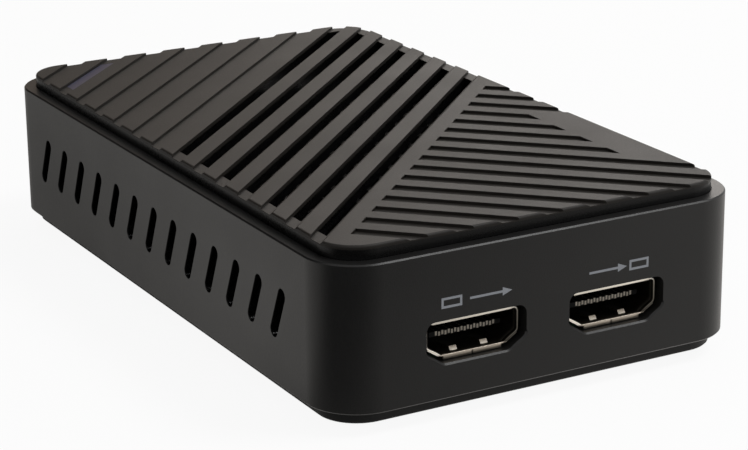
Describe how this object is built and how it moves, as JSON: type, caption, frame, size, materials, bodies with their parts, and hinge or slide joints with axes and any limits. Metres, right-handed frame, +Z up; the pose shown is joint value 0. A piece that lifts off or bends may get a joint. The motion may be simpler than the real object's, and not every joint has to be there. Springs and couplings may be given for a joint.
{
  "type": "video capture box",
  "caption": "Low black case with a diagonally ribbed, slotted cover, leaning side vents, two video sockets at one end, a data socket at the other, and a board under a finned heat sink inside.",
  "frame": {"origin": "under the middle of the case, on the plane that the rubber feet stand on", "axes": "+X across the case to the right, seen from the video sockets; +Y along the case from the video sockets to the data socket; +Z up"},
  "size_m": [0.0662, 0.1126, 0.026],
  "materials": {
    "case_plastic": "satin",
    "cover_plastic": "satin",
    "foot_rubber": "matte",
    "screw_steel": "satin",
    "board": "satin solder mask",
    "socket_nickel": "nickel plated",
    "socket_plastic": "matte",
    "contact_gold": "gold plated",
    "sink_aluminium": "black anodised",
    "spacer_brass": "satin",
    "pad_rubber": "matte",
    "chip_plastic": "matte",
    "can_steel": "satin",
    "inductor_ferrite": "matte",
    "can_aluminium": "satin",
    "capacitor_ceramic": "matte",
    "light_plastic": "milky",
    "light_package": "gloss"
  },
  "bodies": {
    "root": {"side_band": "case_plastic", "top_cover": "cover_plastic", "base_plate": "case_plastic", "rubber_feet": "foot_rubber", "case_screws": "screw_steel", "main_board": "board", "board_screws": "screw_steel", "video_out_shell": "socket_nickel", "video_out_tongue": "socket_plastic", "video_out_contacts": "contact_gold", "video_in_shell": "socket_nickel", "video_in_tongue": "socket_plastic", "video_in_contacts": "contact_gold", "data_port_shell": "socket_nickel", "data_port_tongue": "socket_plastic", "data_port_contacts": "contact_gold", "heat_sink": "sink_aluminium", "heat_sink_spacers": "spacer_brass", "heat_sink_screws": "screw_steel", "thermal_pads": "pad_rubber", "capture_processor": "chip_plastic", "video_receiver": "chip_plastic", "video_splitter": "chip_plastic", "data_controller": "chip_plastic", "memory_chips": "chip_plastic", "boot_memory": "chip_plastic", "crystals": "can_steel", "surge_arrays": "chip_plastic", "power_inductors": "inductor_ferrite", "power_regulators": "chip_plastic", "bulk_capacitors": "can_aluminium", "small_capacitors": "capacitor_ceramic", "light_guide": "light_plastic", "status_light": "light_package"}
  },
  "joints": []
}
